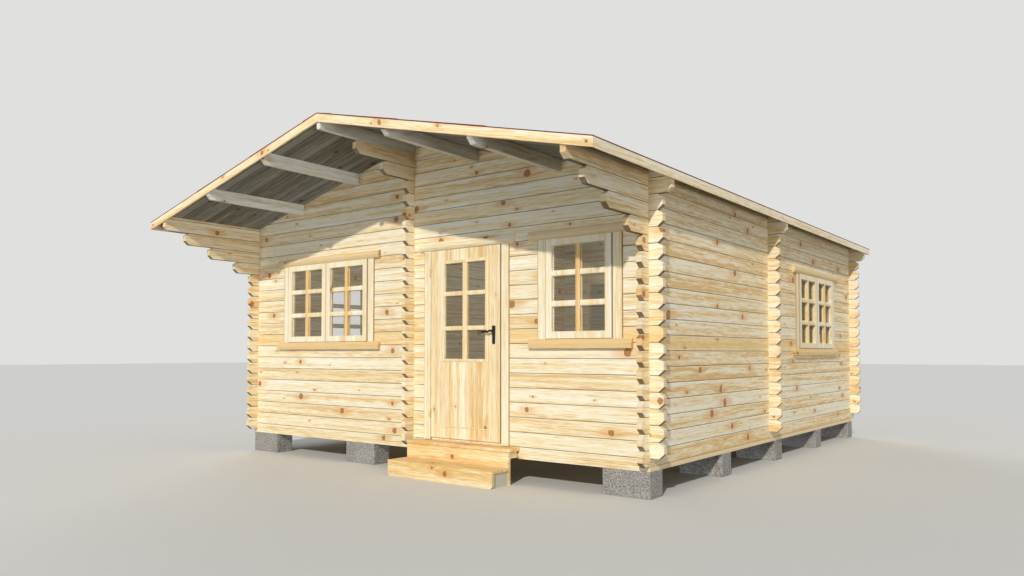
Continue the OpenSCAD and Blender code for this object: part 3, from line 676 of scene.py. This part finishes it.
def begin(name, finish, scale=(1, 1, 1)):
    """Names the primitive that was just added, and gives it its finish and size."""
    piece = bpy.context.object
    piece.name = name
    piece.scale = scale
    piece.data.materials.append(finish)
    return settle(piece)


def stock(name, low, high, finish):
    """A blank of wood or felt between two corners, to be shaped."""
    fresh()
    low, high = Vector(low), Vector(high)
    bpy.ops.mesh.primitive_cube_add(size=1, location=(low + high) / 2)
    return begin(name, finish, high - low)


def shape(piece, kind, test, work):
    """Selects the faces, edges or vertices that pass the test and does the work on them in edit mode."""
    take(piece)
    bpy.ops.object.mode_set(mode="EDIT")
    bpy.ops.mesh.select_mode(type=kind)
    bpy.ops.mesh.select_all(action="DESELECT")
    bpy.ops.object.mode_set(mode="OBJECT")
    mesh = piece.data
    if kind == "EDGE":
        for edge in mesh.edges:
            edge.select = test(*(mesh.vertices[i].co for i in edge.vertices))
    elif kind == "FACE":
        for face in mesh.polygons:
            face.select = test(face.center, face.normal)
    else:
        for vertex in mesh.vertices:
            vertex.select = test(vertex.co)
    bpy.ops.object.mode_set(mode="EDIT")
    work()
    bpy.ops.object.mode_set(mode="OBJECT")
    return piece


def every(*where):
    """The test that all faces and edges pass."""
    return True


def same(a, b):
    """Whether two measures agree."""
    return abs(a - b) < NEAR


def level_at(y):
    """Edges that run along X at one depth."""
    return lambda a, b: same(a.y, y) and same(b.y, y) and same(a.z, b.z)


def upright_at(y):
    """Edges that stand upright at one depth."""
    return lambda a, b: same(a.y, y) and same(b.y, y) and same(a.x, b.x)


def ease(piece, width, segments, test=every):
    """Rounds the chosen edges."""
    return shape(piece, "EDGE", test, lambda: bpy.ops.mesh.bevel(
        offset=width, offset_type="OFFSET", segments=segments, profile=0.5, affect="EDGES",
        clamp_overlap=True))


def lift_end(piece, x, rise):
    """Moves the end of a piece at one x up or down."""
    return shape(piece, "VERT", lambda p: same(p.x, x),
                 lambda: bpy.ops.transform.translate(value=(0, 0, rise)))


def turn_outward(piece):
    """Makes all faces look outwards."""
    return shape(piece, "FACE", every, lambda: bpy.ops.mesh.normals_make_consistent(inside=False))


def copy(piece, shift=(0, 0, 0), turn=0.0, scale=(1, 1, 1)):
    """A copy with its own mesh, turned about the upright and moved."""
    take(piece)
    bpy.ops.object.duplicate(linked=False)
    made = bpy.context.object
    made.rotation_euler = (0, 0, math.radians(turn))
    made.scale = scale
    made.location = shift
    settle(made)
    return turn_outward(made) if min(scale) < 0 else made


def glue(name, pieces):
    """Joins pieces into one object."""
    fresh()
    for piece in pieces:
        piece.select_set(True)
    bpy.context.view_layer.objects.active = pieces[0]
    bpy.ops.object.join()
    made = bpy.context.object
    made.name = name
    bpy.ops.object.shade_smooth_by_angle(angle=math.radians(35))
    return made


def discard(*pieces):
    """Deletes patterns that were only copied from."""
    fresh()
    for piece in pieces:
        piece.select_set(True)
    bpy.ops.object.delete()


def hand_over(piece, body, slot, *replaced):
    """Gives a finished piece to its body, in place of the solids it stands for. The slot is not used."""
    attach(piece, body)
    if replaced:
        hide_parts(*replaced)


# Glazing

def bead(name, x, z, face, back, finish, width, nose):
    """A mitred frame round an opening: a sheet, inset, opened and drawn forward, its nose rounded."""
    fresh()
    middle = Vector(((x[0] + x[1]) / 2, back, (z[0] + z[1]) / 2))
    bpy.ops.mesh.primitive_plane_add(size=1, location=middle, rotation=(math.radians(90), 0, 0))
    piece = begin(name, finish, (x[1] - x[0], z[1] - z[0], 1))
    shape(piece, "FACE", every, lambda: bpy.ops.mesh.inset(thickness=width, depth=0))
    shape(piece, "FACE", lambda c, n: (c - middle).length < NEAR, lambda: bpy.ops.mesh.delete(type="FACE"))
    shape(piece, "FACE", every, lambda: bpy.ops.mesh.extrude_region_move(
        TRANSFORM_OT_translate={"value": (0, face - back, 0)}))
    turn_outward(piece)
    return ease(piece, nose, 3, lambda a, b: level_at(face)(a, b) or upright_at(face)(a, b))


def cross_bars(name, middle, x, z, post, rail, front, glass_y, back, finishes, set_back, noses, segments):
    """Bars between six panes, on both faces of the glass: one upright and, set back, two level."""
    left, right = middle - post / 2, middle + post / 2
    pane = (z[1] - z[0] - 2 * rail) / 3
    faces = ((front, glass_y[0], front, 1), (glass_y[1], back, back, -1))
    pieces = []
    for (near, far, face, inwards), nose, count in zip(faces, noses, segments):
        bar = stock(name, (left, near, z[0]), (right, far, z[1]), finishes[0])
        pieces.append(ease(bar, nose, count, upright_at(face)))
    for low in (z[0] + pane, z[0] + 2 * pane + rail):
        for start, end in ((x[0], left), (right, x[1])):
            for (near, far, face, inwards), depth, nose, count in zip(faces, set_back, noses, segments):
                level = face + inwards * depth
                near, far = (level, far) if inwards > 0 else (near, level)
                bar = stock(name, (start, near, low), (end, far, low + rail), finishes[1])
                pieces.append(ease(bar, nose, count, level_at(level)))
    return pieces


def sash_lattice(name, front, glass_y, back, finishes):
    """Bars and beads of one sash, its panes standing at height zero and its wall's face at depth zero."""
    half, high = PANE_W + BAR / 2, 3 * PANE_H + 2 * BAR
    pieces = cross_bars(name, 0, (-half, half), (0, high), BAR, BAR, front, glass_y, back, finishes,
                        set_back=(0.0015, 0.001), noses=(0.004, 0.003), segments=(2, 2))
    for row in range(3):
        low = row * (PANE_H + BAR)
        for left in (-half, BAR / 2):
            pieces.append(bead(name, (left, left + PANE_W), (low, low + PANE_H), glass_y[0] - BEAD_DEPTH,
                               glass_y[0], finishes[1], **GLASS_BEAD))
    return glue(name, pieces)


sash_low, sash_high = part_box("front_right_window_sash")
glass_low, glass_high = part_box("front_right_window_glass")
depths = (sash_low[1] - FRONT + BARS_IN[0], (glass_low[1] - FRONT, glass_high[1] - FRONT),
          sash_high[1] - FRONT - BARS_IN[1])
lattice_front = sash_lattice("lattice_front", *depths, (bar_upright, bar_level))
lattice_side = sash_lattice("lattice_side", *depths, (bar_upright_side, bar_level_side))
for name, sashes, turn in WINDOWS:
    glass_low, glass_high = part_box(name + "_window_glass")
    foot = glass_low[2] + REBATE
    sets = []
    for number in range(sashes):
        middle = glass_low[1 if turn else 0] + REBATE - STILE + SASH / 2 + number * (SASH + SASH_GAP)
        place = (math.copysign(HALF, turn), middle, foot) if turn else (middle, FRONT, foot)
        sets.append(copy(lattice_side if turn else lattice_front, place, turn))
    hand_over(glue(name + "_window_bars", sets), "house", "joinery_pine")
discard(lattice_front, lattice_side)

# Door: moulding and bars round its six panes, boards and a bead on its lower field
light_x = (pane_low[0] + REBATE, pane_high[0] - REBATE)
light_z = (pane_low[2] + REBATE, pane_high[2] - REBATE)
field = (light_x[0] - MOULD, light_x[1] + MOULD)
glass_y = (pane_low[1], pane_high[1])
pieces = [bead("light_mould", field, (light_z[0] - MOULD, light_z[1] + MOULD), LEAF_FACE - MOULD_OUT,
               glass_y[0], bar_level, width=MOULD + INNER, nose=0.006)]
pieces += cross_bars("light_bar", DOOR, light_x, light_z, POST, RAIL, LEAF_FACE + POST_IN, glass_y,
                     LEAF_BACK - POST_IN, (bar_upright, bar_level),
                     set_back=(POST_IN, POST_IN), noses=(0.006, 0.004), segments=(3, 2))
hand_over(glue("door_light_bars", pieces), "door", "joinery_pine")

board_w = (field[1] - field[0]) / FIELD_BOARDS
board = stock("field_board", (0, LEAF_FACE - BOARD_OUT, FIELD_FOOT),
              (board_w, LEAF_FACE + LET_IN, light_z[0] - MOULD), leaf_pine)
ease(board, BOARD_ROUND, 2, lambda a, b: a.y < LEAF_FACE and b.y < LEAF_FACE)
pieces = [copy(board, (field[0] + board_w * number, 0, 0)) for number in range(FIELD_BOARDS)]
bead_face = LEAF_FACE - BEAD_OUT
strip = stock("field_bead", (field[0], bead_face, FIELD_FOOT - FIELD_BEAD),
              (field[1], LEAF_FACE + LET_IN, FIELD_FOOT), bar_level)
pieces.append(ease(strip, 0.004, 3, level_at(bead_face)))
discard(board)
hand_over(glue("door_field_boards", pieces), "door", "joinery_pine")


# Handle: a tapered plate and a waved lever drawn out of a round rose, on both faces of the leaf

def draw_lever():
    """Draws the selected rose out, round a bend and along in a wave."""
    def out(move, size=(1, 1, 1)):
        bpy.ops.mesh.extrude_region_move(TRANSFORM_OT_translate={"value": move})
        bpy.ops.transform.resize(value=size)

    def swing(x, y):
        bpy.ops.transform.rotate(value=math.radians(45), orient_axis="Z",
                                 center_override=(HANDLE_X + x, LEAF_FACE + y, HANDLE_Z))

    out((0, -0.005, 0))
    out((0, -0.002, 0), (0.62, 1, 0.62))
    out((0, -0.016, 0), (0.95, 1, 0.95))
    out((0, -0.010, 0))
    out((-0.004, -0.005, 0))
    swing(-0.004, -0.043)
    out((-0.014, -0.002, 0))
    swing(-0.018, -0.045)
    for rise, size in LEVER_WAVE:
        out((-LEVER_STEP, 0.0006, rise), (1, size, size))


def sink_lock():
    """Sinks the middle of the selected round face."""
    bpy.ops.mesh.inset(thickness=0.0025, depth=0)
    bpy.ops.mesh.inset(thickness=0.001, depth=-0.003)


def handle_side():
    """Plate, lever and lock on the outer face."""
    facing = (math.radians(90), 0, 0)
    plate = stock("plate", (HANDLE_X - PLATE_HALF, LEAF_FACE - PLATE_T, HANDLE_Z - PLATE_DOWN),
                  (HANDLE_X + PLATE_HALF, LEAF_FACE, HANDLE_Z + PLATE_UP), iron)
    shape(plate, "VERT", lambda p: p.z < HANDLE_Z,
          lambda: bpy.ops.transform.resize(value=(PLATE_TAPER, 1, 1)))
    ease(plate, 0.013, 5, lambda a, b: abs(a.y - b.y) > 0.001)
    ease(plate, 0.0025, 2, lambda a, b: a.y < LEAF_FACE - 0.005 and b.y < LEAF_FACE - 0.005)
    fresh()
    bpy.ops.mesh.primitive_circle_add(vertices=ROUND_SIDES, radius=ROSE_R, fill_type="NGON",
                                      location=(HANDLE_X, LEAF_FACE - 0.005, HANDLE_Z), rotation=facing)
    lever = begin("lever", iron)
    shape(lever, "FACE", every, draw_lever)
    fresh()
    bpy.ops.mesh.primitive_cylinder_add(vertices=ROUND_SIDES, radius=LOCK_R, depth=0.006, rotation=facing,
                                        location=(HANDLE_X, LEAF_FACE - 0.008, HANDLE_Z - LOCK_DOWN))
    lock = begin("lock", iron)
    shape(lock, "FACE", lambda c, n: n.y < -0.9, sink_lock)
    return glue("handle_side", [plate, lever, lock])


outer = handle_side()
inner = copy(outer, (0, LEAF_FACE + LEAF_BACK, 0), scale=(1, -1, 1))
handle = turn_outward(glue("door_lever_handle", [outer, inner]))
hand_over(handle, "door", "black_metal", "door_handle")


# Roof: boards laid from the ridge to the eaves, and felt in lapped strips with its edges turned down

def roof_boarding(name, side):
    """The boards of one slope, their lower edges chamfered."""
    end = EAVE - BARGE_T
    start = ROOF_FRONT + BARGE_T
    half_way = (UNDER_RIDGE + ROOF_TOP) / 2
    board = stock(name, (0, start, UNDER_RIDGE + 0.0001), (end, start + BOARD_W, ROOF_TOP), roof_pine)
    lift_end(board, end, -RISE * end)

    def lower_edge(a, b):
        return abs(a.x - b.x) > 1 and max(a.z + RISE * a.x, b.z + RISE * b.x) < half_way

    ease(board, 0.003, 1, lower_edge)
    row = board.modifiers.new("row", "ARRAY")
    row.count = ROOF_BOARDS
    row.use_relative_offset = False
    row.use_constant_offset = True
    row.constant_offset_displace = (0, BOARD_W, 0)
    take(board)
    bpy.ops.object.modifier_apply(modifier="row")
    if side < 0:
        board.scale = (-1, 1, 1)
        turn_outward(settle(board))
    return board


def felt_strip(near, far, lifted):
    """A strip between two distances from the ridge, its lower edge lifted where it laps over another."""
    strip = stock("strip", (near, ROOF_FRONT - STRIP_OUT, ROOF_TOP),
                  (far, ROOF_BACK + STRIP_OUT, ROOF_TOP + FELT_T), felt)
    lift_end(strip, far, lifted - RISE * far)
    lift_end(strip, near, -RISE * near)
    return ease(strip, STRIP_ROUND, 2, lambda a, b: same(a.x, far) and same(b.x, far))


def felt_lip(y0, y1):
    """The edge turned down over a barge board."""
    lip = stock("lip", (0, y0, ROOF_TOP - LIP), (EAVE, y1, ROOF_TOP + FELT_T), felt)
    return ease(lift_end(lip, EAVE, -RISE * EAVE), LIP_ROUND, 2)


hand_over(roof_boarding("right_roof_boarding", 1), "house", "roof_board", "right_roof_boards")
hand_over(roof_boarding("left_roof_boarding", -1), "house", "roof_board", "left_roof_boards")

strip_w = (EAVE + 2 * LAP) / 3
half_felt = []
for number in range(3):
    far = EAVE - number * (strip_w - LAP)
    half_felt.append(felt_strip(max(far - strip_w, 0), far, LAP_LIFT if number else 0.0))
half_felt.append(felt_strip(0, RIDGE_STRIP, LAP_LIFT))
half_felt.append(felt_lip(ROOF_FRONT - LIP_OUT, ROOF_FRONT + LIP_IN))
half_felt.append(felt_lip(ROOF_BACK - LIP_IN, ROOF_BACK + LIP_OUT))
eave_z = ROOF_TOP - RISE * EAVE
eave_lip = stock("lip", (EAVE - LIP_IN, ROOF_FRONT, eave_z - LIP),
                 (EAVE + LIP_OUT, ROOF_BACK, eave_z + FELT_T), felt)
half_felt.append(ease(eave_lip, LIP_ROUND, 2))
right_felt = glue("right_felt", half_felt)
left_felt = copy(right_felt, scale=(-1, 1, 1))
hand_over(glue("roof_felt_strips", [right_felt, left_felt]), "house", "felt", "roof_felt")


def soften(width, *names):
    """Eased edges on solids that keep their own mesh."""
    for name in names:
        weld = cad[name].modifiers.new("weld", "WELD")
        weld.merge_threshold = 0.00005
        flat = cad[name].modifiers.new("flat", "DECIMATE")
        flat.decimate_type = "DISSOLVE"
        flat.angle_limit = math.radians(1)
        edge = cad[name].modifiers.new("edge", "BEVEL")
        edge.width = width
        edge.segments = 2
        edge.limit_method = "ANGLE"
        edge.angle_limit = math.radians(40)


soften(0.003, *BARGES, "eave_boards", *PURLINS, "step_treads", "step_box")
soften(0.006, "concrete_blocks")


# Stage, light and camera

def studio_floor():
    """Pale where it is seen, darker to the light it sends back, so that undersides keep their shade. It
    throws no shadow, so that the two low fills reach up under the roof."""
    fresh()
    bpy.ops.mesh.primitive_plane_add(size=160, location=(0, 0, 0))
    ground = bpy.context.object
    ground.name = "studio_floor"
    f = Finish("studio_paper")
    paper = f.mix(f.seen(), (0.14, 0.14, 0.14, 1.0), (0.72, 0.7, 0.67, 1.0))
    ground.data.materials.append(f.look(paper, 0.95, Specular_IOR_Level=0.0))
    ground.visible_shadow = False


def studio_sky(light, strength, backdrop, backdrop_strength):
    """Weak light from all round, and a paler backdrop where it is seen."""
    world = bpy.data.worlds.new("studio")
    bpy.context.scene.world = world
    world.use_nodes = True
    sky = Nodes(world.node_tree)
    dim, pale = sky.tree.nodes["Background"], sky.node("Background")
    sky.feed_all((light, strength), (dim.inputs["Color"], dim.inputs["Strength"]))
    sky.feed_all((backdrop, backdrop_strength), (pale.inputs["Color"], pale.inputs["Strength"]))
    choose = sky.node("MixShader")
    sky.feed_all((sky.seen(), dim.outputs[0], pale.outputs[0]), choose.inputs)
    sky.feed(choose.outputs[0], sky.tree.nodes["World Output"].inputs["Surface"])


def sun(name, travel, strength, colour, spread):
    """A far lamp whose light travels one way, spread over an angle in degrees."""
    bpy.ops.object.light_add(type="SUN", location=(0, 0, 12))
    lamp = bpy.context.object
    lamp.name = name
    lamp.rotation_euler = Vector(travel).to_track_quat("-Z", "Y").to_euler()
    lamp.data.energy = strength
    lamp.data.color = colour
    lamp.data.angle = math.radians(spread)


def room_lamp(name, place, power=11):
    """A weak fill inside a room, so that the glass shows the logs behind it."""
    bpy.ops.object.light_add(type="POINT", location=place)
    lamp = bpy.context.object
    lamp.name = name
    lamp.data.energy = power
    lamp.data.color = (0.74, 0.86, 1.0)
    lamp.data.shadow_soft_size = 0.35
    lamp.visible_camera = lamp.visible_glossy = lamp.visible_transmission = False


studio_floor()
sun("key_light", travel=(-0.32, 0.825, -0.466), strength=2.4, colour=(1.0, 0.955, 0.87), spread=1.2)
sun("right_fill", travel=(-0.95, 0.15, 0.25), strength=0.76, colour=(0.93, 0.96, 1.0), spread=11)
sun("front_fill", travel=(0.05, 0.97, 0.12), strength=0.73, colour=(0.82, 0.9, 1.0), spread=11)
sun("back_fill", travel=(0.66, -0.6, -0.45), strength=0.8, colour=(0.94, 0.97, 1.0), spread=30)
room_lamp("left_room_lamp", (-1.35, -1.1, 2.2))
room_lamp("right_room_lamp", (1.35, -1.1, 2.2))
room_lamp("back_room_lamp", (0, 1.9, 2.2))
studio_sky(light=(0.86, 0.93, 1.0, 1.0), strength=0.46,
           backdrop=(0.98, 0.98, 0.97, 1.0), backdrop_strength=0.76)

bpy.ops.object.camera_add(location=(5.7402, -8.2518, 1.1931),
                          rotation=(math.radians(91.98), 0, math.radians(37.69)))
camera = bpy.context.object
camera.data.lens = 27.62
camera.data.sensor_width = 36
camera.data.shift_y = 0.0367
camera.data.clip_end = 300
bpy.context.scene.camera = camera
bpy.context.scene.view_settings.view_transform = "Standard"
